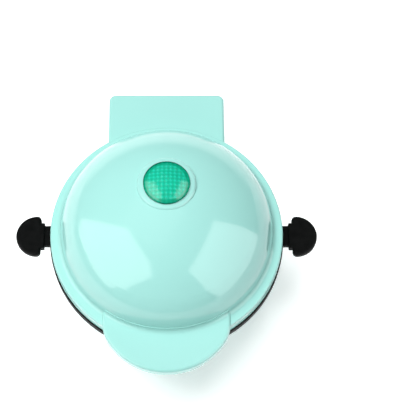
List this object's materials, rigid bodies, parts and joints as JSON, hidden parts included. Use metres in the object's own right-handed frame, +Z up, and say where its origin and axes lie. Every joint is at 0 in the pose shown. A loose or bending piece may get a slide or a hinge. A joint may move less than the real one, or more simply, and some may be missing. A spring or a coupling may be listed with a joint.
{
  "type": "donut maker",
  "caption": "Small electric donut maker: domed lid with a green indicator lens hinged at the back of a round base with a ring-shaped fluted mould and side grips.",
  "frame": {"origin": "middle of the outline, on the table the feet stand on", "axes": "+X to the right ear grip seen from the handle, +Y from the handle to the hinge, +Z up"},
  "size_m": [0.166, 0.1639, 0.1062],
  "materials": {
    "mint_plastic": "glossy moulded shell",
    "green_lens": "clear green, dimpled underneath",
    "black_plastic": "fine matt texture",
    "non_stick": "dark satin non-stick coating on cast aluminium",
    "bare_aluminium": "rolled sheet",
    "element_steel": "heat-tinted sheath",
    "spring_steel": "pressed strip",
    "screw_steel": "bright zinc",
    "thermostat_metal": "drawn can",
    "white_ceramic": "unglazed white ceramic",
    "lamp_glass": "clear glass capsule",
    "sleeving": "braided glass-fibre sleeving",
    "black_rubber": "soft moulded rubber",
    "grey_rubber": "soft moulded rubber"
  },
  "bodies": {
    "base": {"base_housing": "mint_plastic", "base_collar": "black_plastic", "left_ear_grip": "black_plastic", "right_ear_grip": "black_plastic", "ear_screws": "screw_steel", "collar_screws": "screw_steel", "baking_pan": "non_stick", "pan_screws": "screw_steel", "base_heater": "element_steel", "base_heat_shield": "bare_aluminium", "thermostat": "thermostat_metal", "thermostat_strap": "spring_steel", "strap_screws": "screw_steel", "thermal_fuse": "white_ceramic", "terminal_block": "white_ceramic", "base_wiring": "sleeving", "gland_plate": "black_plastic", "gland_screws": "screw_steel", "cord_gland": "black_rubber", "bottom_cover": "black_plastic", "cover_screws": "screw_steel", "right_rear_foot": "grey_rubber", "left_rear_foot": "grey_rubber", "left_front_foot": "grey_rubber", "right_front_foot": "grey_rubber"},
    "lid": {"lid_cover": "mint_plastic", "indicator_lens": "green_lens", "lens_retainer": "spring_steel", "lamp_holder": "white_ceramic", "indicator_lamp": "lamp_glass", "lid_heat_shield": "bare_aluminium", "lid_heater": "element_steel", "lid_heater_clamp": "spring_steel", "lid_clamp_screw": "screw_steel", "lid_plate": "non_stick", "lid_plate_screws": "screw_steel", "lid_wiring": "sleeving", "left_hinge_pin": "screw_steel", "right_hinge_pin": "screw_steel"}
  },
  "joints": [
    {"name": "lid_hinge", "type": "hinge", "parent": "base", "child": "lid", "pos_m": [0, 0.07235, 0.0544], "axis": [-1, 0, 0], "range_deg": [0, 100]}
  ]
}
